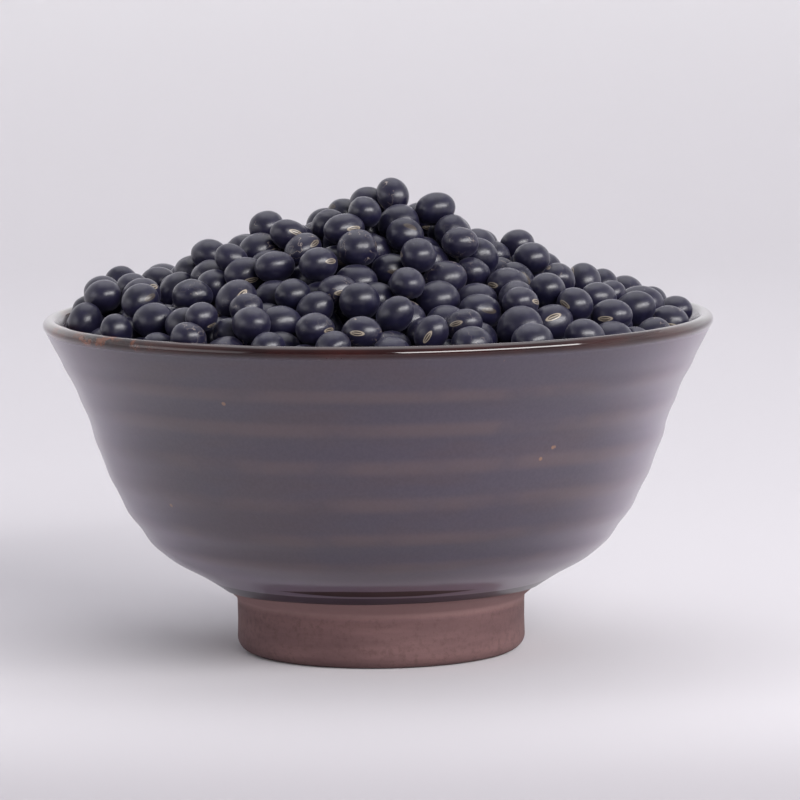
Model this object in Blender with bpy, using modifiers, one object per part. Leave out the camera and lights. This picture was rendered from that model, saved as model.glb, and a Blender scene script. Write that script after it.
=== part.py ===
"""A thrown stoneware bowl on an unglazed foot, heaped with dried black soybeans.

Metres, +Z up. The origin is on the table, at the middle of the foot.
The bowl is one turned piece. The heap is one piece too: a core that fills the bowl, with the beans
that show fused on at their true size.
"""

import math

import bmesh
import bpy
import numpy as np
from mathutils import Matrix

MM = 0.001

# Bowl
RIM_RADIUS = 75.0 * MM
BOWL_HEIGHT = 75.6 * MM
LIP_RADIUS = 1.65 * MM
FOOT_RADIUS = 32.4 * MM
FOOT_HEIGHT = 11.6 * MM
FOOT_RING_WIDTH = 5.0 * MM
FOOT_RECESS_DEPTH = 8.8 * MM
RECESS_TAPER = 1.2 * MM
RECESS_DOME = 0.3 * MM
FOOT_EDGE = 3.0 * MM
INNER_EDGE = 0.6 * MM
GLAZE_EDGE = 14.9 * MM
BOWL_SEGMENTS = 48
SHARP_EDGE = math.radians(40)

# The outer wall's radius at a few heights, from the foot to the lip, without its ridges
WALL_HEIGHTS = tuple(z * MM for z in (12.0, 14.6, 17.6, 21.5, 29.4, 41.4, 56.4, 73.95))
WALL_RADII = tuple(r * MM for r in (32.7, 35.9, 40.5, 47.4, 54.7, 61.1, 66.4, 75.0))

# Throwing ridges, each the height of a crest, and the rings of the wall over and under them
RIDGE_CRESTS = tuple(z * MM for z in (20.2, 25.4, 32.0, 40.05, 48.4, 56.8, 64.4))
RIDGE_DEPTH = 0.4 * MM
OVER_RIDGES = (71.4 * MM, 68.0 * MM)
UNDER_RIDGES = (17.2 * MM, GLAZE_EDGE, 12.2 * MM)

# The inside's height at a few radii, from the middle to the lip
INSIDE_RADII = (0.0, 22.0 * MM, 38.0 * MM, 50.0 * MM, 57.0 * MM, 62.5 * MM, 71.7 * MM)
INSIDE_HEIGHTS = (16.4 * MM, 17.2 * MM, 20.9 * MM, 29.4 * MM, 41.4 * MM, 56.4 * MM, 73.95 * MM)
INSIDE_RINGS = (0.0, 24.0 * MM, 38.0 * MM, 47.0 * MM, 53.5 * MM, 59.5 * MM, 65.0 * MM, 69.2 * MM)

# Heap: the height of its tops over the lip, from left to right and towards the front and back
LIP_HEIGHT = INSIDE_HEIGHTS[-1]
HEAP_X = tuple(x * MM for x in (-71, -61, -51, -43, -38, -29, -24, -19, -10, 4, 12, 18, 25, 31, 42, 57, 71))
TOP_OVER_LIP = (3, 12, 10, 13, 18, 20, 25, 22, 25, 32, 30, 27, 22, 20, 13, 8, 2)
HEAP_Z = tuple(LIP_HEIGHT + (z + 0.45) * MM for z in TOP_OVER_LIP)
FRONT_Y = (0.0, 12.0 * MM, 40.0 * MM, 60.0 * MM, 71.0 * MM)
FRONT_Z = tuple(LIP_HEIGHT + z * MM for z in (31.45, 27.45, 15.45, 7.45, 1.45))
OVER_TOP = 0.7 * MM
FILL_DEPTH = 21.0 * MM
CORE_GAP = 0.35 * MM
CORE_RINGS = (65.0 * MM, 54.0 * MM, 38.0 * MM, 20.0 * MM, 0.0)

# Beans: half of the length, width and thickness
BEAN_HALF = (4.55 * MM, 4.2 * MM, 3.85 * MM)
BEAN_SPREAD = 0.06
SHAPE_SPREAD = 0.03
BEAN_TILT = 0.6
BEAN_SEED = 44
BEAN_SIDES = 5
BEAN_RINGS = 4
ROUNDNESS = 1.08

# How the beans fall: the slope that holds one, the misses that mean a full heap, and the room at the wall
GRIP = 0.12
PATIENCE = 200
WALL_ROOM = 1.08
WALL_POINTS = 80
LIP_SHARE = 0.8
ROLL_WAYS = np.radians(np.arange(0, 360, 36))
FIRST_ROLL = 2.0 * MM
LAST_ROLL = 0.1 * MM

# What of them shows, and how deep they sit in the core
COVER = 6.0 * MM
COVER_SHARE = 0.7
CORE_BLUR = 6.0 * MM
SINK = 1.3 * MM
CLEAR_OF_CORE = 4.3 * MM
PROP_STEP = 1.15

CLAY = ("Unglazed red clay", (0.16, 0.075, 0.06, 1.0), 0.85)
GLAZE = ("Mauve grey glaze", (0.12, 0.10, 0.12, 1.0), 0.28)
BEAN_SKIN = ("Black bean skin", (0.022, 0.022, 0.03, 1.0), 0.5)


def smooth_through(at, stations, values):
    """The value at a place on a smooth curve through the stations."""
    stations = np.asarray(stations)
    values = np.asarray(values)
    slopes = np.gradient(values, stations)
    k = np.clip(np.searchsorted(stations, at) - 1, 0, len(stations) - 2)
    width = stations[k + 1] - stations[k]
    t = (at - stations[k]) / width
    start = (2 * t**3 - 3 * t**2 + 1) * values[k] + (t**3 - 2 * t**2 + t) * width * slopes[k]
    end = (3 * t**2 - 2 * t**3) * values[k + 1] + (t**3 - t**2) * width * slopes[k + 1]
    return start + end


def inside_height(radius):
    return smooth_through(radius, INSIDE_RADII, INSIDE_HEIGHTS)


def wall_point(height):
    """A point of the outer wall, which swells at each crest and draws in halfway between two."""
    turns = np.interp(height, RIDGE_CRESTS, range(len(RIDGE_CRESTS)))
    ridged = RIDGE_CRESTS[0] <= height <= RIDGE_CRESTS[-1]
    swell = RIDGE_DEPTH / 2 * math.cos(2 * math.pi * turns) if ridged else 0.0
    return smooth_through(height, WALL_HEIGHTS, WALL_RADII) + swell, height


def ridge_heights():
    """Crests and the hollows between them, from the lip down."""
    crests = RIDGE_CRESTS
    hollows = [(low + high) / 2 for low, high in zip(crests, crests[1:])]
    return sorted([*crests, *hollows], reverse=True)


def lip_arc():
    """The rounded lip, from the inside over the top to the outside."""
    middle = (RIM_RADIUS - LIP_RADIUS, BOWL_HEIGHT - LIP_RADIUS)
    angles = np.radians((170, 130, 90, 50, 10))
    return [(middle[0] + LIP_RADIUS * math.cos(a), middle[1] + LIP_RADIUS * math.sin(a)) for a in angles]


def bowl_profile():
    """Half of the bowl's section, from the middle of the inside up over the lip and down to the foot."""
    inside = [(r, float(inside_height(r))) for r in INSIDE_RINGS]
    wall = [wall_point(h) for h in (*OVER_RIDGES, *ridge_heights(), *UNDER_RIDGES)]
    ring_inner = FOOT_RADIUS - FOOT_RING_WIDTH
    foot = [
        (FOOT_RADIUS, FOOT_HEIGHT),
        (FOOT_RADIUS, FOOT_EDGE),
        (FOOT_RADIUS - 0.3 * FOOT_EDGE, 0.3 * FOOT_EDGE),
        (FOOT_RADIUS - FOOT_EDGE, 0.0),
        (ring_inner + INNER_EDGE, 0.0),
        (ring_inner, INNER_EDGE),
        (ring_inner - RECESS_TAPER, FOOT_RECESS_DEPTH),
        (0.0, FOOT_RECESS_DEPTH + RECESS_DOME),
    ]
    return [*inside, *lip_arc(), *wall, *foot]


def turned(name, profile, collection):
    """A solid of revolution about Z from a profile of (radius, height) that starts and ends on the axis."""
    mesh = bpy.data.meshes.new(name)
    mesh.from_pydata([(r, 0.0, z) for r, z in profile], [(k, k + 1) for k in range(len(profile) - 1)], [])
    piece = bpy.data.objects.new(name, mesh)
    collection.objects.link(piece)
    screw = piece.modifiers.new("Turned", "SCREW")
    screw.steps = BOWL_SEGMENTS
    screw.render_steps = BOWL_SEGMENTS
    screw.use_merge_vertices = True
    screw.merge_threshold = 0.00001
    return piece


def as_mesh(piece):
    """Makes the piece's modifiers part of its mesh."""
    bpy.context.view_layer.update()
    evaluated = piece.evaluated_get(bpy.context.evaluated_depsgraph_get())
    mesh = bpy.data.meshes.new_from_object(evaluated)
    piece.modifiers.clear()
    piece.data = mesh


def material(name, colour, roughness):
    made = bpy.data.materials.new(name)
    made.use_nodes = True
    shader = made.node_tree.nodes["Principled BSDF"]
    shader.inputs["Base Color"].default_value = colour
    shader.inputs["Roughness"].default_value = roughness
    shader.inputs["Metallic"].default_value = 0.0
    return made


def heap_top(x, y):
    """The heap's height at a place, from the line's to the sides and the slope's to front and back."""
    away = np.maximum(np.hypot(x, y), 1e-9)
    share = (x / away) ** 2
    sideways = np.interp(np.copysign(away, x), HEAP_X, HEAP_Z)
    return share * sideways + (1 - share) * np.interp(away, FRONT_Y, FRONT_Z)


def turn_about(axis, angle):
    """A rotation matrix about X (0) or Z (2)."""
    c, s = math.cos(angle), math.sin(angle)
    matrix = np.eye(3)
    a, b = ((1, 2), (0, 1))[axis // 2]
    matrix[a, a] = matrix[b, b] = c
    matrix[a, b], matrix[b, a] = -s, s
    return matrix


def next_bean(rng):
    """One bean's half axes and its turn. Most lie nearly flat on their broad side."""
    size = 1 + BEAN_SPREAD * rng.standard_normal()
    half = np.array(BEAN_HALF) * size * (1 + SHAPE_SPREAD * rng.standard_normal(3))
    way = rng.uniform(0, 2 * math.pi)
    tilt = BEAN_TILT * rng.standard_normal()
    spin = rng.uniform(0, 2 * math.pi)
    return half, turn_about(2, way) @ turn_about(0, tilt) @ turn_about(2, spin)


def landing(points, bean_radius, places, reaches):
    """The height where a falling bean's middle stops over each place: on the fill, the wall or a bean."""
    x, y = points[:, 0], points[:, 1]
    radius = np.hypot(x, y)
    floor = heap_top(x, y) - FILL_DEPTH + bean_radius
    wall_radii = np.linspace(INSIDE_RADII[2], INSIDE_RADII[-1], WALL_POINTS)
    gap = bean_radius + CORE_GAP
    room = gap**2 - (radius[:, None] - wall_radii) ** 2
    on_wall = inside_height(wall_radii) + np.sqrt(np.maximum(room, 0))
    rest = np.maximum(floor, np.where(room > 0, on_wall, 0.0).max(axis=1))
    if len(places):
        dx = x[:, None] - places[:, 0]
        dy = y[:, None] - places[:, 1]
        a = reaches[:, 2, 2]
        b = reaches[:, 0, 2] * dx + reaches[:, 1, 2] * dy
        c = reaches[:, 0, 0] * dx**2 + 2 * reaches[:, 0, 1] * dx * dy + reaches[:, 1, 1] * dy**2 - 1
        inside = b**2 - a * c
        on_bean = places[:, 2] + (np.sqrt(np.maximum(inside, 0)) - b) / a
        rest = np.maximum(rest, np.where(inside > 0, on_bean, 0.0).max(axis=1))
    return np.where(radius > INSIDE_RADII[-1] - LIP_SHARE * bean_radius, 1.0, rest)


def roll_down(point, bean_radius, places, reaches):
    """Lets a bean roll from where it lands until no way down is steeper than the grip of its skin."""
    here = landing(point[None], bean_radius, places, reaches)[0]
    step = FIRST_ROLL
    while step > LAST_ROLL:
        tries = point + step * np.stack([np.cos(ROLL_WAYS), np.sin(ROLL_WAYS)], axis=1)
        heights = landing(tries, bean_radius, places, reaches)
        lowest = heights.argmin()
        if heights[lowest] < here - GRIP * step:
            point = tries[lowest]
            here = heights[lowest]
        else:
            step /= 2
    return np.array([point[0], point[1], here])


def packed_beans():
    """Drops beans until no more find a seat in the heap. Gives the place, half axes and turn of each."""
    rng = np.random.default_rng(BEAN_SEED)
    beans = []
    places = np.empty((0, 3))
    shapes = np.empty((0, 3, 3))
    misses = 0
    while misses < PATIENCE:
        half, turn = next_bean(rng)
        shape = turn @ np.diag(half**2) @ turn.T
        reaches = np.linalg.inv(2 * (shapes + shape))
        way = rng.uniform(0, 2 * math.pi)
        share = math.sqrt(rng.uniform())
        start = share * (INSIDE_RADII[-1] - BEAN_HALF[0]) * np.array([math.cos(way), math.sin(way)])
        place = roll_down(start, half.max() * WALL_ROOM, places, reaches)
        if place[2] + math.sqrt(shape[2, 2]) > heap_top(place[0], place[1]) + OVER_TOP:
            misses += 1
            continue
        beans.append((place, half, turn))
        places = np.vstack([places, place])
        shapes = np.concatenate([shapes, shape[None]])
        misses = 0
    return beans


def uncovered(beans):
    """The beans that show: no other bean sits right over them."""
    places = np.array([place for place, _, _ in beans])
    shown = []
    for bean in beans:
        away = places - bean[0]
        over = (np.hypot(away[:, 0], away[:, 1]) < COVER) & (away[:, 2] > COVER_SHARE * BEAN_HALF[2])
        if not over.any():
            shown.append(bean)
    return shown


def core_height(x, y, places):
    """The core's top at a place: under the middles of the beans that show round it."""
    weight = np.exp(-((places[:, 0] - x) ** 2 + (places[:, 1] - y) ** 2) / (2 * CORE_BLUR**2))
    return float((weight * places[:, 2]).sum() / weight.sum()) - SINK


def props(beans, places):
    """Beans set under the ones that stand clear of the core, so that none of the heap hangs in the air."""
    added = []
    for place, half, turn in beans:
        low = place.copy()
        while low[2] - core_height(low[0], low[1], places) > CLEAR_OF_CORE:
            low = low - np.array([0.0, 0.0, PROP_STEP * half[2]])
            added.append((low, half, turn))
    return added


def core_profile():
    """Half of the core's section, from its top down the wall to the bowl's floor."""
    top = [(r, max(HEAP_Z)) for r in reversed(CORE_RINGS)]
    side = []
    for r in reversed(INSIDE_RINGS):
        slope = (inside_height(r + 0.1 * MM) - inside_height(r)) / (0.1 * MM)
        lean = math.hypot(1, slope)
        side.append((max(r - CORE_GAP * slope / lean, 0.0), float(inside_height(r)) + CORE_GAP / lean))
    side[-1] = (0.0, side[-1][1])
    return top, side


def keep_outer_shell(mesh):
    """Fills hollows that fusing has sealed and drops loose scraps, by keeping the one largest shell."""
    shape = bmesh.new()
    shape.from_mesh(mesh)
    shape.verts.ensure_lookup_table()
    unseen = set(shape.verts)
    shells = []
    while unseen:
        shell = set()
        edge_of = [next(iter(unseen))]
        while edge_of:
            vertex = edge_of.pop()
            if vertex in shell:
                continue
            shell.add(vertex)
            edge_of.extend(edge.other_vert(vertex) for edge in vertex.link_edges)
        unseen -= shell
        shells.append(shell)
    largest = max(shells, key=len)
    bmesh.ops.delete(shape, geom=[v for v in shape.verts if v not in largest], context="VERTS")
    shape.to_mesh(mesh)
    shape.free()
    return len(shells)


def low_bean_mesh():
    """A bean of few sides and unit radius, a touch large, so that its flats stand for the true round."""
    shape = bmesh.new()
    bmesh.ops.create_uvsphere(shape, u_segments=BEAN_SIDES, v_segments=BEAN_RINGS, radius=ROUNDNESS)
    mesh = bpy.data.meshes.new("low_bean")
    shape.to_mesh(mesh)
    shape.free()
    return mesh


def build_heap(collection):
    beans = uncovered(packed_beans())
    places = np.array([place for place, _, _ in beans])
    beans += props(beans, places)
    top, side = core_profile()
    heap = turned("beans", [*top, *side], collection)
    as_mesh(heap)
    for vertex in heap.data.vertices:
        if vertex.co.z > BOWL_HEIGHT:
            vertex.co.z = core_height(vertex.co.x, vertex.co.y, places)

    loose = bpy.data.collections.new("loose beans")
    bpy.context.scene.collection.children.link(loose)
    low_bean = low_bean_mesh()
    for k, (place, half, turn) in enumerate(beans):
        bean = bpy.data.objects.new(f"bean_{k:03d}", low_bean)
        matrix = np.eye(4)
        matrix[:3, :3] = turn @ np.diag(half)
        matrix[:3, 3] = place
        bean.matrix_world = Matrix(matrix.tolist())
        loose.objects.link(bean)

    union = heap.modifiers.new("Fused beans", "BOOLEAN")
    union.operation = "UNION"
    union.operand_type = "COLLECTION"
    union.collection = loose
    union.solver = "MANIFOLD"
    as_mesh(heap)
    for bean in list(loose.objects):
        bpy.data.objects.remove(bean)
    bpy.data.collections.remove(loose)
    shells = keep_outer_shell(heap.data)
    heap.data.materials.clear()
    heap.data.materials.append(material(*BEAN_SKIN))
    print(f"{len(beans)} beans fused, {shells} shells, {len(heap.data.polygons)} faces")
    return heap


def build_bowl(collection):
    bowl = turned("bowl", bowl_profile(), collection)
    as_mesh(bowl)
    bowl.data.materials.append(material(*GLAZE))
    bowl.data.materials.append(material(*CLAY))
    for face in bowl.data.polygons:
        bare = face.center.z < GLAZE_EDGE and face.center.xy.length < float(wall_point(GLAZE_EDGE)[0])
        face.material_index = int(bare)
    bowl.data.shade_smooth()
    bowl.data.set_sharp_from_angle(angle=SHARP_EDGE)
    return bowl


def main():
    for old in list(bpy.data.objects):
        bpy.data.objects.remove(old)
    collection = bpy.data.collections.new("Bowl of black soybeans")
    bpy.context.scene.collection.children.link(collection)
    build_bowl(collection)
    build_heap(collection)


main()
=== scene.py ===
import math

import bmesh
import bpy
import numpy as np
from mathutils import Matrix, Vector, noise


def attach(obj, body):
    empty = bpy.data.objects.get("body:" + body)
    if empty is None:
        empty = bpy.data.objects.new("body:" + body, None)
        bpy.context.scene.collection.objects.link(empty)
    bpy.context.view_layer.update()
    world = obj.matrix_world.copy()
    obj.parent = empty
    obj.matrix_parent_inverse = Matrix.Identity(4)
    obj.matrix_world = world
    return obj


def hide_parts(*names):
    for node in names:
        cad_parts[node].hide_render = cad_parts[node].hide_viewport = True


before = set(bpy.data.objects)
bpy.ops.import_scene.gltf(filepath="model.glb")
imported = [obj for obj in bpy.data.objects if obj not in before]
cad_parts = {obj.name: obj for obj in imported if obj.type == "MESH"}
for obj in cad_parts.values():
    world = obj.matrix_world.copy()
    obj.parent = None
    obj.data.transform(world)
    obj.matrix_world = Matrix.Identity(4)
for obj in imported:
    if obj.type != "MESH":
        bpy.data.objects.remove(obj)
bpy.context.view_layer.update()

mm = 0.001


# Shared

def smoothThrough(at, stations, values):
    # The value at a place on a smooth curve through the stations
    stations = np.asarray(stations)
    values = np.asarray(values)
    slopes = np.gradient(values, stations)
    k = np.clip(np.searchsorted(stations, at) - 1, 0, len(stations) - 2)
    width = stations[k + 1] - stations[k]
    t = (at - stations[k]) / width
    start = (2 * t**3 - 3 * t**2 + 1) * values[k] + (t**3 - 2 * t**2 + t) * width * slopes[k]
    end = (3 * t**2 - 2 * t**3) * values[k + 1] + (t**3 - t**2) * width * slopes[k + 1]
    return start + end


def smoothStep(low, high, value):
    t = np.clip((value - low) / (high - low), 0, 1)
    return t * t * (3 - 2 * t)


def addPiece(name, mesh, nodeName):
    piece = bpy.data.objects.new(name, mesh)
    bpy.context.scene.collection.objects.link(piece)
    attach(piece, "root")
    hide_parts(nodeName)


def setAttribute(mesh, name, kind, values):
    attribute = mesh.attributes.new(name, kind, "POINT")
    field = "vector" if kind == "FLOAT_VECTOR" else "value"
    attribute.data.foreach_set(field, np.asarray(values, np.float32).ravel())


def pointsOf(mesh):
    points = np.empty(len(mesh.vertices) * 3)
    mesh.vertices.foreach_get("co", points)
    return points.reshape(-1, 3)


def movePoints(mesh, points):
    mesh.vertices.foreach_set("co", points.ravel())
    mesh.update()


def arc(centre, radius, start, end, count):
    angles = np.radians(np.linspace(start, end, count))
    return [(centre[0] + radius * math.cos(a), centre[1] + radius * math.sin(a)) for a in angles]


def spun(name, profile, steps, merge=0.002 * mm):
    # A profile of (radius, height) turned once round the Z axis
    shape = bmesh.new()
    ring = [shape.verts.new((r, 0, z)) for r, z in profile]
    edges = [shape.edges.new(pair) for pair in zip(ring, ring[1:])]
    turned = [*ring, *edges]
    bmesh.ops.spin(shape, geom=turned, cent=(0, 0, 0), axis=(0, 0, 1), angle=2 * math.pi, steps=steps)
    bmesh.ops.remove_doubles(shape, verts=shape.verts, dist=merge)
    bmesh.ops.recalc_face_normals(shape, faces=shape.faces)
    mesh = bpy.data.meshes.new(name)
    shape.to_mesh(mesh)
    shape.free()
    mesh.shade_smooth()
    return mesh


# Node helpers

def newGroup(name, inputs, outputs):
    # A node group with named inputs and outputs: (name, socket type, default value)
    group = bpy.data.node_groups.new(name, "ShaderNodeTree")
    for socketName, kind, value in inputs:
        socket = group.interface.new_socket(socketName, in_out="INPUT", socket_type=kind)
        socket.default_value = value
    for socketName, kind in outputs:
        group.interface.new_socket(socketName, in_out="OUTPUT", socket_type=kind)
    return group, group.nodes.new("NodeGroupInput"), group.nodes.new("NodeGroupOutput")


def put(tree, kind, **values):
    # A node with some settings and input values, or links where a value is a socket
    node = tree.nodes.new(kind)
    for key, value in values.items():
        if hasattr(node, key):
            setattr(node, key, value)
            continue
        name = int(key[5:]) if key.startswith("input") else key.replace("_", " ")
        feed(tree, node.inputs[name], value)
    return node


def feed(tree, socket, value):
    if isinstance(value, bpy.types.NodeSocket):
        tree.links.new(value, socket)
    else:
        socket.default_value = value


def arithmetic(tree, operation, first, second=0.0, third=0.0):
    node = put(tree, "ShaderNodeMath", operation=operation, input0=first, input1=second, input2=third)
    return node.outputs[0]


def times(tree, first, second):
    return arithmetic(tree, "MULTIPLY", first, second)


def awayFrom(tree, value, middle):
    return arithmetic(tree, "ABSOLUTE", arithmetic(tree, "SUBTRACT", value, middle))


def between(tree, value, low, high, start=0.0, end=1.0):
    # The value's place between low and high, smoothed, from start to end
    node = put(tree, "ShaderNodeMapRange", interpolation_type="SMOOTHSTEP", Value=value)
    for name, number in (("From Min", low), ("From Max", high), ("To Min", start), ("To Max", end)):
        node.inputs[name].default_value = number
    return node.outputs["Result"]


def blend(tree, factor, first, second):
    node = put(tree, "ShaderNodeMix", data_type="RGBA")
    feed(tree, node.inputs["Factor"], factor)
    feed(tree, node.inputs[6], first)
    feed(tree, node.inputs[7], second)
    return node.outputs[2]


def noiseOf(tree, place, scale, detail=3.0, roughness=0.55):
    node = put(tree, "ShaderNodeTexNoise", Vector=place, Scale=scale, Detail=detail, Roughness=roughness)
    return node.outputs["Fac"]


def attributeOf(tree, name, output="Fac"):
    return put(tree, "ShaderNodeAttribute", attribute_name=name).outputs[output]


def addBump(tree, shader, relief, strength, distance):
    bump = put(tree, "ShaderNodeBump", Strength=strength, Distance=distance, Height=relief)
    tree.links.new(bump.outputs["Normal"], shader.inputs["Normal"])


def newMaterial(name, roughness, **values):
    material = bpy.data.materials.new(name)
    material.use_nodes = True
    tree = material.node_tree
    shader = tree.nodes["Principled BSDF"]
    shader.inputs["Roughness"].default_value = roughness
    for key, value in values.items():
        shader.inputs[key.replace("_", " ")].default_value = value
    return material, tree, shader


# Bowl

bowl = {
    "rimRadius": 75.0 * mm,
    "height": 75.6 * mm,
    "lipRadius": 1.65 * mm,
    "lipArc": (150, -14),
    "lipMiddle": 73.9 * mm,
    "lipOutside": (73.55 * mm, 72.95 * mm),
    "lipInside": (74.3 * mm, 73.3 * mm),
    "lipWander": 0.3 * mm,
    "lipRipple": 0.25 * mm,
    "wallHeights": np.array([12.0, 14.6, 17.6, 21.5, 29.4, 41.4, 56.4, 73.95]) * mm,
    "wallRadii": np.array([32.7, 35.9, 40.5, 47.4, 54.7, 61.1, 66.4, 75.0]) * mm,
    "wallTop": 72.7 * mm,
    "wallStep": 0.4 * mm,
    "wallSkin": 1.2 * mm,
    "insideRadii": np.array([0.0, 22.0, 38.0, 50.0, 57.0, 62.5, 71.7]) * mm,
    "insideHeights": np.array([16.4, 17.2, 20.9, 29.4, 41.4, 56.4, 73.95]) * mm,
    "insideEdge": 71.15 * mm,
    "ridges": np.array([12.5, 19.2, 25.4, 32.0, 40.05, 48.4, 56.8, 64.4, 72.0]) * mm,
    "ridgeDepth": 0.24 * mm,
    "ridgeSharpness": 1.4,
    "ridgeLevel": 0.45,
    "ridgeWander": 0.45 * mm,
    "ridgesFrom": (20.0 * mm, 24.0 * mm),
    "ridgesUpTo": (64.5 * mm, 70.5 * mm),
    "wander": 0.12 * mm,
    "wanderFrom": (12.0 * mm, 30.0 * mm),
    "glazeEdge": 14.95 * mm,
    "glazeThickness": 0.3 * mm,
    "dipTilt": 0.9 * mm,
    "dipWay": math.radians(20),
    "dipDrop": 0.5 * mm,
    "dipWander": 0.12 * mm,
    "dipFrom": (12.3 * mm, 14.6 * mm),
    "dipUpTo": (15.4 * mm, 19.5 * mm),
    "clayBand": (14.6 * mm, 12.2 * mm),
    "footRadius": 32.4 * mm,
    "footSide": [(0.12, 12.05), (0.0, 11.6), (-0.05, 10.8), (-0.1, 7.0)],  # in mm: past that radius, height
    "footRound": 3.0 * mm,
    "footInner": 27.4 * mm,
    "innerRound": 0.8 * mm,
    "recessHeight": 8.8 * mm,
    "recessRound": 1.8 * mm,
    "recessInset": 2.2 * mm,
    "steps": 224,
}
nearAxis = 1 * mm  # the least radius that is divided by


def insideHeight(radius):
    return smoothThrough(radius, bowl["insideRadii"], bowl["insideHeights"])


def wallRadius(height):
    return smoothThrough(height, bowl["wallHeights"], bowl["wallRadii"])


def bowlProfile():
    # From the middle of the inside up over the lip and down to the foot and its recess
    lipCentre = (bowl["rimRadius"] - bowl["lipRadius"], bowl["height"] - bowl["lipRadius"])
    thick = bowl["glazeThickness"]
    low = bowl["glazeEdge"]
    edge = float(wallRadius(low))
    foot = bowl["footRadius"]
    footRound = bowl["footRound"]
    inner = bowl["footInner"]
    innerRound = bowl["innerRound"]
    roof = bowl["recessHeight"]
    roofRound = bowl["recessRound"]
    inside = [(r, float(insideHeight(r))) for r in np.linspace(0, bowl["insideEdge"], 64)]
    lip = arc(lipCentre, bowl["lipRadius"], *bowl["lipArc"], 22)
    wallHeights = np.arange(bowl["wallTop"], low + 0.2 * mm, -bowl["wallStep"])
    wall = [(float(wallRadius(z)), z) for z in wallHeights]
    bead = arc((edge - 0.3 * thick, low + 0.4 * thick), 0.5 * thick, -55, -215, 7)
    clayHeights = np.linspace(*bowl["clayBand"], 9)
    bare = [(float(wallRadius(z)) - 0.57 * thick, z + 0.82 * thick) for z in clayHeights]
    side = [(foot + past * mm, height * mm) for past, height in bowl["footSide"]]
    sole = arc((foot - footRound, footRound), footRound, 0, -90, 10)
    recess = arc((inner + innerRound, innerRound), innerRound, -90, -180, 5)
    recess += [(inner - 0.2 * mm, 4.0 * mm)]
    recess += arc((inner - bowl["recessInset"], roof - roofRound), roofRound, 0, 90, 6)
    recess += [(18.0 * mm, roof + 0.1 * mm), (0.0, roof + 0.3 * mm)]
    return [*inside, *lip, *wall, *bead, *bare, *side, *sole, *recess]


def around(points, turns, seed):
    # Slow noise round the bowl, the same at both ends of a turn
    angles = np.arctan2(points[:, 1], points[:, 0])
    places = np.stack([turns * np.cos(angles), turns * np.sin(angles), points[:, 2] * 25 + seed], axis=1)
    return np.array([noise.noise(Vector(place)) for place in places])


def slideEdge(points):
    # The glaze was dipped at a tilt, so its edge climbs and falls along the underside
    radius = np.hypot(points[:, 0], points[:, 1])
    height = points[:, 2]
    way = np.arctan2(points[:, 0], -points[:, 1])
    dip = bowl["dipTilt"] * np.cos(way - bowl["dipWay"]) - bowl["dipDrop"]
    dip += bowl["dipWander"] * around(points, 3.0, 21.0)
    near = smoothStep(*bowl["dipFrom"], height) * (1 - smoothStep(*bowl["dipUpTo"], height))
    slid = height + dip * near * (radius > bowl["footRadius"] + 0.2 * mm)
    slidRadius = wallRadius(np.clip(slid, 12 * mm, 60 * mm))
    oldRadius = wallRadius(np.clip(height, 12 * mm, 60 * mm))
    moved = radius + slidRadius - oldRadius
    points[:, :2] *= (moved / np.maximum(radius, nearAxis))[:, None]
    points[:, 2] = slid


def throwRidges(mesh):
    # Ridges left by the potter's fingers, and the slight wander of a bowl thrown by hand
    points = pointsOf(mesh)
    radius = np.hypot(points[:, 0], points[:, 1])
    height = points[:, 2].copy()
    wander = around(points, 1.2, 3.0)
    ripple = around(points, 4.0, 9.0)
    shifted = height + bowl["ridgeWander"] * (wander + 0.5 * ripple)
    turns = np.interp(shifted, bowl["ridges"], range(len(bowl["ridges"])))
    crest = (0.5 + 0.5 * np.cos(2 * math.pi * turns)) ** bowl["ridgeSharpness"]
    share = smoothStep(*bowl["ridgesFrom"], shifted) * (1 - smoothStep(*bowl["ridgesUpTo"], shifted))
    onWall = radius > wallRadius(np.clip(height, 12 * mm, 73.9 * mm)) - bowl["wallSkin"]
    outer = onWall & (height > bowl["glazeEdge"] + bowl["glazeThickness"])
    swell = bowl["ridgeDepth"] * (crest - bowl["ridgeLevel"]) * share * (1 + 0.5 * wander) * outer
    swell += bowl["wander"] * wander * smoothStep(*bowl["wanderFrom"], height)
    points[:, :2] *= (1 + swell / np.maximum(radius, nearAxis))[:, None]
    slideEdge(points)
    movePoints(mesh, points)

    # Where the crests, the glaze's edge and the dark lip are, for the glaze's colours
    fromEdge = (height - bowl["glazeEdge"]) / bowl["glazeThickness"]
    lipOutside = smoothStep(*bowl["lipOutside"], height + bowl["lipRipple"] * ripple)
    lipInside = smoothStep(*bowl["lipInside"], height + bowl["lipWander"] * wander)
    setAttribute(mesh, "crest", "FLOAT", crest * share * outer)
    setAttribute(mesh, "edge", "FLOAT", np.exp(-(fromEdge**2)) * onWall)
    setAttribute(mesh, "lip", "FLOAT", 1 - np.where(radius > bowl["lipMiddle"], lipOutside, lipInside))


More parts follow.
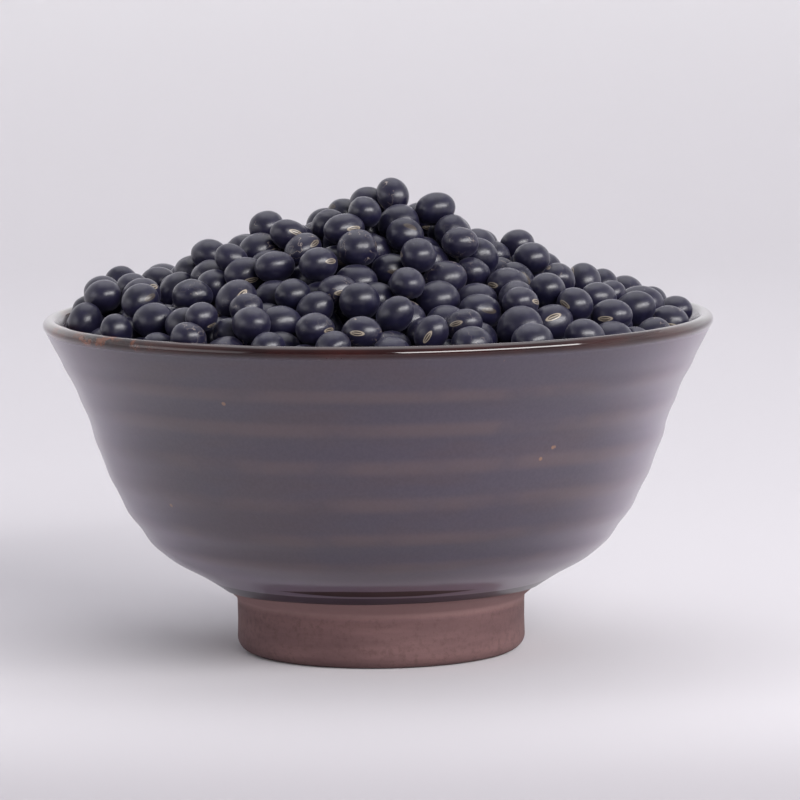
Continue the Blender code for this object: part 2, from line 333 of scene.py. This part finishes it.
glaze = {
    "roughness": 0.28,
    "lipRoughness": 0.1,
    "refraction": 1.68,
    "coat": 0.4,
    "lipCoat": 0.75,
    "coatRoughness": 0.07,
    "mirror": 0.5,
    "lipAndBandsMirror": 0.1,
    "mauves": ((0.0315, 0.0170, 0.0300, 1), (0.0270, 0.0180, 0.0370, 1)),
    "streaks": (0.38, 0.62),
    "brown": (0.060, 0.0355, 0.0425, 1),
    "grain": (0.07, 0.053, 0.073, 1),
    # painted sheen: paler where seen edge-on, standing in for the pale room reflected at grazing angles
    "paintedSheen": (0.30, 0.235, 0.335, 1),
    "paintedSheenMost": 0.40,
    # painted shade: a dark strip low on the underside, standing in for the shade under the bowl
    "paintedShadeStrip": (0.016, 0.013, 0.020, 1),
    "paintedShadeTop": (17.1 * mm, 16.95 * mm),
    # painted highlight: a pale line standing in for light reflected on the glaze above the dark strip
    "line": (0.12, 0.10, 0.13, 1),
    "paintedHighlightHeight": 17.25 * mm,
    "paintedHighlightFade": (0.22 * mm, 0.08 * mm),
    # painted reflection: a dark brown stripe over the front, standing in for the shadowed floor mirrored in
    # the glaze
    "paintedShadowReflection": (0.008, 0.0025, 0.003, 1),
    "paintedReflectionHeight": 18.3 * mm,
    "paintedReflectionMiddle": -0.8 * mm,
    "paintedReflectionEnds": (27.5 * mm, 6.0 * mm),
    # painted shade along the glaze's very edge
    "edge": (0.008, 0.005, 0.009, 1),
    "fleck": (0.24, 0.12, 0.06, 1),
    "fleckScale": 640.0,
    "fleckChance": 0.9985,
    "spot": (36.0 * mm, -53.5 * mm, 50.5 * mm),
    "spotFade": (3.5 * mm, 1.0 * mm),
    "lips": ((0.013, 0.0026, 0.0030, 1), (0.032, 0.0070, 0.0058, 1)),
    "glint": (0.17, 0.05, 0.018, 1),
    "glintsFrom": (-46.0 * mm, -56.0 * mm),
}


def mauveColour(tree, banded, blotches, grain):
    # Mauves in level streaks, browner on the ridges, and a pale painted sheen edge-on, standing in for a
    # reflection
    streaks = noiseOf(tree, banded, 26, 4)
    mauve = blend(tree, between(tree, streaks, *glaze["streaks"]), *glaze["mauves"])
    onCrest = between(tree, attributeOf(tree, "crest"), 0.25, 1.0)
    brown = times(tree, onCrest, between(tree, blotches, 0.32, 0.62, 0.15, 0.85))
    colour = blend(tree, brown, mauve, glaze["brown"])
    grained = blend(tree, between(tree, grain, 0.35, 0.65, 0.0, 0.16), colour, glaze["grain"])
    facing = put(tree, "ShaderNodeLayerWeight", Blend=0.5).outputs["Facing"]
    return blend(tree, between(tree, facing, 0.36, 0.92, 0.0, glaze["paintedSheenMost"]), grained, glaze["paintedSheen"])


def edgeBands(tree, parts, colour):
    # A dark strip of painted shade runs round above the glaze's edge, with a pale line of painted highlight
    # on top of it, and over its front a brown stripe of painted reflection, the shadowed floor mirrored, that
    # thins out to both sides. The glaze's very edge is darkened with painted shade too
    height = parts.outputs["Z"]
    paintedShadeStrip = between(tree, height, *glaze["paintedShadeTop"], 0.0, 0.8)
    shadePainted = blend(tree, paintedShadeStrip, colour, glaze["paintedShadeStrip"])
    fromPaintedHighlight = awayFrom(tree, height, glaze["paintedHighlightHeight"])
    highlightPainted = blend(tree, between(tree, fromPaintedHighlight, *glaze["paintedHighlightFade"], 0.0, 0.6), shadePainted, glaze["line"])
    # Painted reflection of the shadowed floor near the foot, on the front only
    aside = awayFrom(tree, parts.outputs["X"], glaze["paintedReflectionMiddle"])
    halfWidth = times(tree, between(tree, aside, *glaze["paintedReflectionEnds"], -0.1, 0.85), mm)
    inPaintedReflection = arithmetic(tree, "SUBTRACT", halfWidth, awayFrom(tree, height, glaze["paintedReflectionHeight"]))
    front = arithmetic(tree, "LESS_THAN", parts.outputs["Y"], 0.0)
    paintedShadowReflection = times(tree, between(tree, inPaintedReflection, -0.02 * mm, 0.15 * mm, 0.0, 0.97), front)
    reflectionPainted = blend(tree, paintedShadowReflection, highlightPainted, glaze["paintedShadowReflection"])
    # Painted shade along the glaze's very edge
    edgeShade = between(tree, attributeOf(tree, "edge"), 0.2, 0.9, 0.0, 0.8)
    return blend(tree, edgeShade, reflectionPainted, glaze["edge"]), arithmetic(tree, "MAXIMUM", paintedShadowReflection, paintedShadeStrip)


def rustyFlecks(tree, place, colour):
    # Small flecks here and there, thicker in one spot at the right of the front
    fleck = put(tree, "ShaderNodeTexVoronoi", Vector=place, Scale=glaze["fleckScale"], Randomness=1.0)
    chance = put(tree, "ShaderNodeSeparateColor", Color=fleck.outputs["Color"]).outputs[0]
    spot = put(tree, "ShaderNodeVectorMath", operation="DISTANCE", input0=place, input1=glaze["spot"])
    spotted = between(tree, spot.outputs["Value"], *glaze["spotFade"], 0.0, 0.3)
    rare = arithmetic(tree, "GREATER_THAN", arithmetic(tree, "ADD", chance, spotted), glaze["fleckChance"])
    flecks = times(tree, rare, between(tree, fleck.outputs["Distance"], 0.4, 0.2, 0.0, 0.7))
    return blend(tree, flecks, colour, glaze["fleck"])


def lipColour(tree, place, parts, blotches):
    # The glaze runs thin and dark over the lip, with rusty glints at the left
    dark = blend(tree, between(tree, blotches, 0.35, 0.7), *glaze["lips"])
    glints = between(tree, noiseOf(tree, place, 260, 3), 0.47, 0.64, 0.0, 0.85)
    onLeft = between(tree, parts.outputs["X"], *glaze["glintsFrom"])
    return blend(tree, times(tree, glints, onLeft), dark, glaze["glint"])


def makeGlaze():
    material, tree, shader = newMaterial("mauveGlaze", glaze["roughness"], IOR=glaze["refraction"])
    place = put(tree, "ShaderNodeTexCoord").outputs["Object"]
    parts = put(tree, "ShaderNodeSeparateXYZ", Vector=place)
    banded = put(tree, "ShaderNodeMapping", Vector=place, Scale=(1, 1, 4.5)).outputs["Vector"]
    blotches = noiseOf(tree, place, 55, 3)
    grain = noiseOf(tree, place, 1500, 2)
    lip = attributeOf(tree, "lip")
    mauve = mauveColour(tree, banded, blotches, grain)
    edged, paintedBands = edgeBands(tree, parts, mauve)
    speckled = rustyFlecks(tree, place, edged)
    colour = blend(tree, lip, speckled, lipColour(tree, place, parts, blotches))
    # Less mirror on the lip, where the glaze runs thin, and on the painted shade and painted reflection bands
    lipAndPaintedBands = arithmetic(tree, "MAXIMUM", lip, paintedBands)
    roughness = between(tree, lip, 0.0, 1.0, glaze["roughness"], glaze["lipRoughness"])
    mirror = between(tree, lipAndPaintedBands, 0.0, 1.0, glaze["mirror"], glaze["lipAndBandsMirror"])
    coat = between(tree, lip, 0.0, 1.0, glaze["coat"], glaze["lipCoat"])
    tree.links.new(colour, shader.inputs["Base Color"])
    tree.links.new(roughness, shader.inputs["Roughness"])
    tree.links.new(mirror, shader.inputs["Specular IOR Level"])
    tree.links.new(coat, shader.inputs["Coat Weight"])
    shader.inputs["Coat Roughness"].default_value = glaze["coatRoughness"]
    relief = arithmetic(tree, "MULTIPLY_ADD", noiseOf(tree, banded, 160, 3), 0.6, times(tree, grain, 0.12))
    addBump(tree, shader, relief, 0.14, 0.1 * mm)
    return material


clay = {
    "roughness": 0.82,
    "tones": ((0.094, 0.047, 0.048, 1), (0.140, 0.073, 0.071, 1)),
    "pits": (0.075, 0.036, 0.035, 1),
    # painted light: the clay is lighter from this height up, standing in for light bounced up from the pale
    # floor
    "paintedBounce": (0.26, 0.152, 0.147, 1),
    "paintedBounceFrom": (10.4 * mm, 12.4 * mm),
    "footTop": 12.25 * mm,
    "bandTop": 16.2 * mm,
    "bandDepth": 0.28 * mm,
}


def makeClay():
    material, tree, shader = newMaterial("bareClay", clay["roughness"])
    place = put(tree, "ShaderNodeTexCoord").outputs["Object"]
    height = put(tree, "ShaderNodeSeparateXYZ", Vector=place).outputs["Z"]
    banded = put(tree, "ShaderNodeMapping", Vector=place, Scale=(1, 1, 6)).outputs["Vector"]
    bands = noiseOf(tree, banded, 32, 4)
    grain = noiseOf(tree, place, 700, 4, 0.7)
    tone = blend(tree, between(tree, bands, 0.32, 0.68), *clay["tones"])
    pitted = blend(tree, between(tree, grain, 0.45, 0.7, 0.0, 0.6), tone, clay["pits"])
    # Painted light: lighter high on the foot and the bare band, standing in for light bounced from the floor
    bounceLightened = blend(tree, between(tree, height, *clay["paintedBounceFrom"], 0.0, 0.62), pitted, clay["paintedBounce"])
    tree.links.new(bounceLightened, shader.inputs["Base Color"])
    addBump(tree, shader, grain, 0.5, 0.15 * mm)
    return material


def buildBowl():
    mesh = spun("bowlGlazed", bowlProfile(), bowl["steps"])
    throwRidges(mesh)
    mesh.materials.append(makeGlaze())
    mesh.materials.append(makeClay())

    # The foot is bare, and so is the band of clay that lies deeper than the glaze beside it
    centres = np.empty(len(mesh.polygons) * 3)
    mesh.polygons.foreach_get("center", centres)
    centres = centres.reshape(-1, 3)
    radius = np.hypot(centres[:, 0], centres[:, 1])
    depth = wallRadius(np.clip(centres[:, 2], 12 * mm, 20 * mm)) - radius
    deepBand = (centres[:, 2] < clay["bandTop"]) & (depth > clay["bandDepth"])
    bare = (centres[:, 2] < clay["footTop"]) | deepBand
    mesh.polygons.foreach_set("material_index", bare.astype(np.int32))
    mesh.update()
    addPiece("bowlGlazed", mesh, "bowl")


# Heap

heap = {
    "lineX": np.array([-71, -61, -51, -43, -38, -29, -24, -19, -10, 4, 12, 18, 25, 31, 42, 57, 71]) * mm,
    "lineZ": np.array([3, 12, 10, 13, 18, 20, 25, 22, 25, 32, 30, 27, 22, 20, 13, 8, 2]) * mm,
    "lineLift": 0.45 * mm,
    "frontY": np.array([0, 12, 40, 60, 71]) * mm,
    "frontZ": np.array([31.45, 27.45, 15.45, 7.45, 1.45]) * mm,
    "overTop": 0.7 * mm,
    "fillDepth": 21.0 * mm,
    "wallGap": 0.35 * mm,
    "wallRoom": 1.08,
    "rimRoom": 0.8,
    "outOfReach": 1.0,
    "beanHalf": np.array([4.55, 4.2, 3.85]) * mm,
    "beanSpread": 0.06,
    "beanUneven": 0.03,
    "beanTilt": 0.6,
    "firstStep": 2.0 * mm,
    "lastStep": 0.1 * mm,
    "grip": 0.12,
    "patience": 200,
    "seed": 44,
    "buried": 15.0 * mm,
}
# Heights of the heap's top along its outline from left to right, and from its peak to the front
rimHeight = bowl["wallHeights"][-1]
lineTop = rimHeight + heap["lineZ"] + heap["lineLift"]
frontTop = rimHeight + heap["frontZ"]


def heapTop(x, y):
    away = np.maximum(np.hypot(x, y), 1e-9)
    share = (x / away) ** 2
    sideways = np.interp(np.copysign(away, x), heap["lineX"], lineTop)
    return share * sideways + (1 - share) * np.interp(away, heap["frontY"], frontTop)


def turnAbout(axis, angle):
    # The matrix of a turn about X, axis 0, or Z, axis 2
    first = 1 if axis == 0 else 0
    second = first + 1
    matrix = np.eye(3)
    matrix[first, first] = math.cos(angle)
    matrix[second, second] = math.cos(angle)
    matrix[first, second] = -math.sin(angle)
    matrix[second, first] = math.sin(angle)
    return matrix


def nextBean(rng):
    size = 1 + heap["beanSpread"] * rng.standard_normal()
    half = heap["beanHalf"] * size * (1 + heap["beanUneven"] * rng.standard_normal(3))
    way = rng.uniform(0, 2 * math.pi)
    tilt = heap["beanTilt"] * rng.standard_normal()
    spin = rng.uniform(0, 2 * math.pi)
    return half, turnAbout(2, way) @ turnAbout(0, tilt) @ turnAbout(2, spin)


def landing(points, beanRadius, places, reaches):
    # How high a falling bean's middle comes to rest over each place: on the fill's floor, the wall or a bean
    x = points[:, 0]
    y = points[:, 1]
    radius = np.hypot(x, y)
    floor = heapTop(x, y) - heap["fillDepth"] + beanRadius
    wallRadii = np.linspace(bowl["insideRadii"][2], bowl["insideRadii"][-1], 80)
    room = (beanRadius + heap["wallGap"]) ** 2 - (radius[:, None] - wallRadii) ** 2
    wall = np.where(room > 0, insideHeight(wallRadii) + np.sqrt(np.maximum(room, 0)), 0.0).max(axis=1)
    rest = np.maximum(floor, wall)
    if len(places):
        dx = x[:, None] - places[:, 0]
        dy = y[:, None] - places[:, 1]
        a = reaches[:, 2, 2]
        b = reaches[:, 0, 2] * dx + reaches[:, 1, 2] * dy
        c = reaches[:, 0, 0] * dx**2 + 2 * reaches[:, 0, 1] * dx * dy + reaches[:, 1, 1] * dy**2 - 1
        inside = b**2 - a * c
        onBean = places[:, 2] + (np.sqrt(np.maximum(inside, 0)) - b) / a
        rest = np.maximum(rest, np.where(inside > 0, onBean, 0.0).max(axis=1))
    return np.where(radius > bowl["insideRadii"][-1] - heap["rimRoom"] * beanRadius, heap["outOfReach"], rest)


def rollDown(point, beanRadius, places, reaches):
    # A bean rolls from where it lands until no way down is steeper than the grip of its skin
    here = landing(point[None], beanRadius, places, reaches)[0]
    ways = np.radians(np.arange(0, 360, 36))
    step = heap["firstStep"]
    while step > heap["lastStep"]:
        tries = point + step * np.stack([np.cos(ways), np.sin(ways)], axis=1)
        heights = landing(tries, beanRadius, places, reaches)
        lowest = heights.argmin()
        if heights[lowest] < here - heap["grip"] * step:
            point = tries[lowest]
            here = heights[lowest]
        else:
            step /= 2
    return np.array([point[0], point[1], here])


def packedBeans():
    # Beans dropped one by one until no more find a seat under the heap's top, as the frame's heap was filled
    rng = np.random.default_rng(heap["seed"])
    beans = []
    places = np.empty((0, 3))
    shapes = np.empty((0, 3, 3))
    misses = 0
    while misses < heap["patience"]:
        half, turn = nextBean(rng)
        shape = turn @ np.diag(half**2) @ turn.T
        reaches = np.linalg.inv(2 * (shapes + shape))
        way = rng.uniform(0, 2 * math.pi)
        share = math.sqrt(rng.uniform())
        reach = share * (bowl["insideRadii"][-1] - heap["beanHalf"][0])
        start = reach * np.array([math.cos(way), math.sin(way)])
        place = rollDown(start, half.max() * heap["wallRoom"], places, reaches)
        if place[2] + math.sqrt(shape[2, 2]) > heapTop(place[0], place[1]) + heap["overTop"]:
            misses += 1
            continue
        beans.append((place, half, turn))
        places = np.vstack([places, place])
        shapes = np.concatenate([shapes, shape[None]])
        misses = 0
    return beans


# Beans

def beanKind(share, stretch, dents, lumps, wrinkle, cracks):
    return {
        "share": share,
        "stretch": stretch,
        "dents": dents,
        "lumps": lumps,
        "wrinkle": wrinkle,
        "cracks": cracks,
    }


beanKinds = {
    "beansSmooth": beanKind(0.30, (1.0, 1.0, 1.0), 0, 0.010, 0.0, 0.0),
    "beansOval": beanKind(0.30, (1.05, 0.97, 0.98), 1, 0.014, 0.0, 0.0),
    "beansDented": beanKind(0.23, (1.0, 1.0, 1.0), 4, 0.022, 1.6, 0.35),
    "beansCracked": beanKind(0.17, (1.02, 1.0, 1.0), 1, 0.014, 0.3, 1.0),
}
beanForm = {
    "seed": 5,
    "forms": 8,
    "dentDepth": (0.02, 0.07),
    "dentWidth": (0.3, 0.6),
    "lumpScale": 1.6,
    "flat": 0.035,
    "flatFrom": 0.80,
}
hilum = {
    "halfLength": 1.65,  # in mm, on a bean of these half sizes
    "halfWidth": 0.6,
    "beanLength": 4.55,
    "beanWidth": 3.85,
    "boss": 0.012,
}


def unitSphere():
    shape = bmesh.new()
    bmesh.ops.create_icosphere(shape, subdivisions=4, radius=1.0)
    shape.verts.ensure_lookup_table()
    points = np.array([v.co[:] for v in shape.verts])
    faces = np.array([[v.index for v in f.verts] for f in shape.faces])
    shape.free()
    return points, faces


def grownSphere(points, kind, rng):
    # One bean's own form on the unit sphere: dents, slow lumps, and the seam side a little flat with its
    # raised scar
    swell = np.zeros(len(points))
    for _ in range(kind["dents"]):
        way = rng.standard_normal(3)
        way /= np.linalg.norm(way)
        apart = np.arccos(np.clip(points @ way, -1, 1))
        depth = rng.uniform(*beanForm["dentDepth"])
        width = rng.uniform(*beanForm["dentWidth"])
        swell -= depth * np.exp(-((apart / width) ** 2))
    shift = Vector(rng.uniform(0, 50, 3))
    lumps = [noise.noise(Vector(p) * beanForm["lumpScale"] + shift) for p in points]
    swell += kind["lumps"] * np.array(lumps)
    swell -= beanForm["flat"] * smoothStep(beanForm["flatFrom"], 1.0, points[:, 1])
    along = points[:, 0] * hilum["beanLength"] / hilum["halfLength"]
    across = points[:, 2] * hilum["beanWidth"] / hilum["halfWidth"]
    seamSide = points[:, 1] > 0
    swell += hilum["boss"] * smoothStep(1.5, 0.9, np.hypot(along, across)) * seamSide
    return points * np.array(kind["stretch"]) * (1 + swell)[:, None]


def joinedBeans(name, kind, beans, rng):
    # All beans of one kind in one mesh, each with its own place on the bean and its own number for the skin
    points, faces = unitSphere()
    forms = [grownSphere(points, kind, rng) for _ in range(beanForm["forms"])]
    corners = []
    skins = []
    tones = []
    for place, half, turn in beans:
        form = forms[rng.integers(len(forms))]
        corners.append((form * half) @ turn.T + place)
        skins.append(points)
        tones.append(np.full(len(points), rng.uniform()))
    allFaces = np.concatenate([faces + k * len(points) for k in range(len(beans))])
    mesh = bpy.data.meshes.new(name)
    mesh.from_pydata(np.concatenate(corners).tolist(), [], allFaces.tolist())
    mesh.shade_smooth()
    setAttribute(mesh, "skin", "FLOAT_VECTOR", np.concatenate(skins))
    setAttribute(mesh, "tone", "FLOAT", np.concatenate(tones))
    return mesh


def makeHilumGroup():
    # The oval scar on the seam side, and its pale ring and middle line
    inputsWanted = [("Skin", "NodeSocketVector", (0, 0, 0))]
    outputsWanted = [("Mask", "NodeSocketFloat"), ("Pale", "NodeSocketFloat")]
    group, inputs, outputs = newGroup("hilum", inputsWanted, outputsWanted)
    parts = put(group, "ShaderNodeSeparateXYZ", Vector=inputs.outputs["Skin"])
    along = times(group, parts.outputs["X"], hilum["beanLength"] / hilum["halfLength"])
    across = times(group, parts.outputs["Z"], hilum["beanWidth"] / hilum["halfWidth"])
    square = arithmetic(group, "ADD", times(group, along, along), times(group, across, across))
    away = arithmetic(group, "SQRT", square)
    front = arithmetic(group, "GREATER_THAN", parts.outputs["Y"], 0.0)
    mask = times(group, between(group, away, 1.12, 0.98), front)
    ring = between(group, away, 0.66, 0.80)
    aside = arithmetic(group, "ABSOLUTE", across)
    line = times(group, between(group, aside, 0.26, 0.12), between(group, away, 0.72, 0.55))
    pale = times(group, mask, arithmetic(group, "MAXIMUM", ring, line))
    group.links.new(mask, outputs.inputs["Mask"])
    group.links.new(pale, outputs.inputs["Pale"])
    return group


beanSkin = {
    "roughness": (0.28, 0.38),
    "refraction": 1.52,
    "sheen": 0.07,
    "sheenRoughness": 0.4,
    "sheenTint": (0.72, 0.70, 1.0, 1),
    "darks": ((0.0050, 0.0046, 0.0165, 1), (0.0105, 0.0095, 0.0290, 1)),
    "lightest": (0.0135, 0.0115, 0.0300, 1),
    "speck": (0.20, 0.19, 0.21, 1),
    "speckChance": 0.93,
    "crack": (0.24, 0.20, 0.18, 1),
    "crackWidth": (0.010, 0.004),
    "crackPatch": (0.53, 0.58),
    "scar": (0.035, 0.026, 0.024, 1),
    "scarPale": (0.33, 0.28, 0.22, 1),
    "wrinkleDepth": 0.22,
    "grainDepth": 0.09,
}


def skinColour(tree, place, tone, kind):
    # Blue-black, a little lighter on some beans, with rare pale specks and, on some kinds, thin pale cracks
    bloom = noiseOf(tree, place, 1.4, 4)
    dark = blend(tree, between(tree, bloom, 0.35, 0.7), *beanSkin["darks"])
    toned = blend(tree, between(tree, tone, 0.0, 1.0, 0.0, 0.5), dark, beanSkin["lightest"])
    speck = put(tree, "ShaderNodeTexVoronoi", Vector=place, Scale=5.0)
    chance = put(tree, "ShaderNodeSeparateColor", Color=speck.outputs["Color"]).outputs[0]
    rare = arithmetic(tree, "GREATER_THAN", chance, beanSkin["speckChance"])
    specks = times(tree, rare, between(tree, speck.outputs["Distance"], 0.10, 0.04))
    flecked = blend(tree, specks, toned, beanSkin["speck"])
    fromCrack = awayFrom(tree, noiseOf(tree, place, 2.2, 1), 0.5)
    patch = between(tree, noiseOf(tree, place, 1.1, 1), *beanSkin["crackPatch"])
    cracks = times(tree, between(tree, fromCrack, *beanSkin["crackWidth"]), patch)
    return blend(tree, times(tree, cracks, kind["cracks"]), flecked, beanSkin["crack"])


def makeBeanSkin(name, kind, hilumGroup):
    material, tree, shader = newMaterial(name, beanSkin["roughness"][1], IOR=beanSkin["refraction"])
    shader.inputs["Sheen Weight"].default_value = beanSkin["sheen"]
    shader.inputs["Sheen Roughness"].default_value = beanSkin["sheenRoughness"]
    shader.inputs["Sheen Tint"].default_value = beanSkin["sheenTint"]
    skin = attributeOf(tree, "skin", "Vector")
    tone = attributeOf(tree, "tone")
    apart = put(tree, "ShaderNodeCombineXYZ", X=times(tree, tone, 90), Y=times(tree, tone, 37)).outputs[0]
    place = put(tree, "ShaderNodeVectorMath", operation="ADD", input0=skin, input1=apart).outputs[0]
    colour = skinColour(tree, place, tone, kind)
    scar = put(tree, "ShaderNodeGroup", node_tree=hilumGroup, Skin=skin)
    scarred = blend(tree, scar.outputs["Mask"], colour, beanSkin["scar"])
    clear = times(tree, scar.outputs["Pale"], between(tree, tone, 0.2, 0.85, 0.08, 1.0))
    grain = noiseOf(tree, place, 14, 4)
    tree.links.new(blend(tree, clear, scarred, beanSkin["scarPale"]), shader.inputs["Base Color"])
    tree.links.new(between(tree, grain, 0.3, 0.7, *beanSkin["roughness"]), shader.inputs["Roughness"])
    ridged = put(tree, "ShaderNodeTexNoise", Vector=place, Scale=2.3, Detail=3.0)
    ridged.noise_type = "RIDGED_MULTIFRACTAL"
    folds = times(tree, ridged.outputs["Fac"], beanSkin["wrinkleDepth"] * kind["wrinkle"])
    relief = arithmetic(tree, "MULTIPLY_ADD", grain, beanSkin["grainDepth"], folds)
    addBump(tree, shader, relief, 0.6, 0.35 * mm)
    return material


def buildBeans():
    rng = np.random.default_rng(beanForm["seed"])
    shown = []
    for bean in packedBeans():
        place = bean[0]
        top = place[2] + heap["beanHalf"][2]
        if top > heapTop(place[0], place[1]) - heap["buried"]:
            shown.append(bean)
    shares = [kind["share"] for kind in beanKinds.values()]
    kindOf = rng.choice(len(beanKinds), size=len(shown), p=shares)
    hilumGroup = makeHilumGroup()
    for k, (name, kind) in enumerate(beanKinds.items()):
        chosen = [bean for bean, number in zip(shown, kindOf) if number == k]
        mesh = joinedBeans(name, kind, chosen, rng)
        mesh.materials.append(makeBeanSkin(name, kind, hilumGroup))
        addPiece(name, mesh, "beans")
        print(name, len(chosen), "beans,", len(mesh.polygons), "faces")


# Core of the heap, under the beans that show

core = {
    "radius": 62.0 * mm,
    "wallRadii": (62.5 * mm, 0.4 * mm),
    "wallGap": 0.35 * mm,
    "floorGap": 0.2 * mm,
    "topMark": 0.2,  # the top's points start at this height, so that they can be told from the others
    "steps": 96,
    "roughness": 0.6,
    "colour": (0.008, 0.008, 0.012, 1),
}


def coreProfile():
    top = [(r, core["topMark"]) for r in np.linspace(0, core["radius"], 24)]
    radii = np.linspace(*core["wallRadii"], 30)
    down = [(r - core["wallGap"], float(insideHeight(r)) + core["floorGap"]) for r in radii]
    return [*top, *down, (0.0, float(insideHeight(0.0)) + core["floorGap"])]


def buildCore():
    mesh = spun("heapCore", coreProfile(), core["steps"])
    points = pointsOf(mesh)
    upper = points[:, 2] > core["topMark"] / 2
    points[upper, 2] = heapTop(points[upper, 0], points[upper, 1]) - heap["buried"]
    movePoints(mesh, points)
    material, _, shader = newMaterial("heapCore", core["roughness"])
    shader.inputs["Base Color"].default_value = core["colour"]
    mesh.materials.append(material)
    addPiece("heapCore", mesh, "beans")


# Stage, light and camera

stage = {
    "radius": 1.5,
    "wallHeight": 1.0,
    "bend": 0.5,
    "roughness": 0.9,
    "mirror": 0.1,
    # painted shade: the floor is darker towards the camera, standing in for weaker light there
    "paintedFloorShades": ((0.43, 0.412, 0.435, 1), (0.625, 0.606, 0.632, 1)),  # towards the camera, and behind
    "floorFrom": (-0.19, -0.07),
    # painted shade: the wall behind the camera is dark, standing in for the dark room there
    "paintedWallShades": ((0.20, 0.20, 0.21, 1), (0.96, 0.965, 0.965, 1)),
    "wallFrom": (-1.25, -0.4),
    "climb": (0.0, 0.4),
}


def makeFloor():
    material, tree, shader = newMaterial("paleFloor", stage["roughness"])
    place = put(tree, "ShaderNodeTexCoord").outputs["Object"]
    parts = put(tree, "ShaderNodeSeparateXYZ", Vector=place)
    depth = parts.outputs["Y"]
    # Painted shade: the floor darkens towards the camera
    ground = blend(tree, between(tree, depth, *stage["floorFrom"]), *stage["paintedFloorShades"])
    # Painted shade: the wall behind the camera is dark
    wall = blend(tree, between(tree, depth, *stage["wallFrom"]), *stage["paintedWallShades"])
    colour = blend(tree, between(tree, parts.outputs["Z"], *stage["climb"]), ground, wall)
    tree.links.new(colour, shader.inputs["Base Color"])
    shader.inputs["Specular IOR Level"].default_value = stage["mirror"]
    return material


def buildStage():
    bend = stage["bend"]
    profile = [(0.0, 0.0), (0.3, 0.0), (stage["radius"] - bend, 0.0)]
    profile += arc((stage["radius"] - bend, bend), bend, -80, 0, 12)
    profile += [(stage["radius"], stage["wallHeight"])]
    mesh = spun("floor", profile, 96, merge=0.1 * mm)
    mesh.materials.append(makeFloor())
    floor = bpy.data.objects.new("floor", mesh)
    bpy.context.scene.collection.objects.link(floor)


lightTarget = Vector((0, 0, 0.06))


def roundBowl(azimuth, elevation, distance):
    # A place seen from the bowl: the azimuth is 0 in front and turns to the right
    a = math.radians(azimuth)
    e = math.radians(elevation)
    away = Vector((math.sin(a) * math.cos(e), -math.cos(a) * math.cos(e), math.sin(e)))
    return lightTarget + away * distance


lights = {
    "keyLight": {
        "size": (1.35, 0.28),
        "power": 18.5,
        "colour": (1.0, 0.985, 0.985),
        "place": roundBowl(40, 27, 1.15),
        "target": lightTarget,
    },
    "fillLight": {
        "size": (1.0, 0.6),
        "power": 2.2,
        "colour": (0.97, 0.96, 1.0),
        "place": roundBowl(-68, 10, 1.2),
        "target": lightTarget,
    },
    "topLight": {
        "size": (1.2, 1.2),
        "power": 5.0,
        "colour": (0.97, 0.97, 1.0),
        "place": roundBowl(180, 75, 1.3),
        "target": lightTarget,
    },
    "wallLight": {
        "size": (1.6, 0.4),
        "power": 4.5,
        "colour": (1.0, 0.99, 1.0),
        "place": Vector((0, 0.5, 1.25)),
        "target": Vector((0, 1.5, 0.9)),
    },
}
room = {"colour": (0.93, 0.92, 0.97, 1), "turn": (-0.7, 0.4), "strength": (0.28, 0.8)}


def addLight(name, settings):
    light = bpy.data.lights.new(name, "AREA")
    light.shape = "RECTANGLE"
    light.size = settings["size"][0]
    light.size_y = settings["size"][1]
    light.energy = settings["power"]
    light.color = settings["colour"]
    lamp = bpy.data.objects.new(name, light)
    lamp.location = settings["place"]
    lamp.rotation_euler = (settings["place"] - settings["target"]).to_track_quat("Z", "Y").to_euler()
    bpy.context.scene.collection.objects.link(lamp)


def buildLight():
    for name, settings in lights.items():
        addLight(name, settings)

    # The room is darker towards the camera, so that the beans stay dark
    world = bpy.data.worlds.new("studio")
    world.use_nodes = True
    tree = world.node_tree
    background = tree.nodes["Background"]
    background.inputs["Color"].default_value = room["colour"]
    way = put(tree, "ShaderNodeTexCoord").outputs["Generated"]
    depth = put(tree, "ShaderNodeSeparateXYZ", Vector=way).outputs["Y"]
    feed(tree, background.inputs["Strength"], between(tree, depth, *room["turn"], *room["strength"]))
    bpy.context.scene.world = world


camera = {
    "distance": 1.05,
    "height": 0.1765,
    "pitch": 6.552,
    "yaw": 0.260,
    "roll": -0.605,
    "focalPixels": 4704.8,
    "pictureWidth": 800,
    "sensorWidth": 36,
}


def buildCamera():
    pitch = math.radians(camera["pitch"])
    yaw = math.radians(camera["yaw"])
    roll = math.radians(camera["roll"])
    forward = Vector((math.sin(yaw) * math.cos(pitch), math.cos(yaw) * math.cos(pitch), -math.sin(pitch)))
    right = Vector((math.cos(yaw), -math.sin(yaw), 0))
    up = right.cross(forward)
    turnedRight = math.cos(roll) * right + math.sin(roll) * up
    turnedUp = math.cos(roll) * up - math.sin(roll) * right
    view = bpy.data.cameras.new("camera")
    view.lens = camera["focalPixels"] / camera["pictureWidth"] * camera["sensorWidth"]
    view.sensor_width = camera["sensorWidth"]
    eye = bpy.data.objects.new("camera", view)
    turn = Matrix((turnedRight, turnedUp, -forward)).transposed().to_4x4()
    eye.matrix_world = Matrix.Translation((0, -camera["distance"], camera["height"])) @ turn
    bpy.context.scene.collection.objects.link(eye)
    bpy.context.scene.camera = eye


buildBowl()
print("bowl built")
buildBeans()
buildCore()
print("heap built")
buildStage()
buildLight()
buildCamera()
bpy.context.scene.view_settings.view_transform = "Standard"
print("stage, light and camera set")
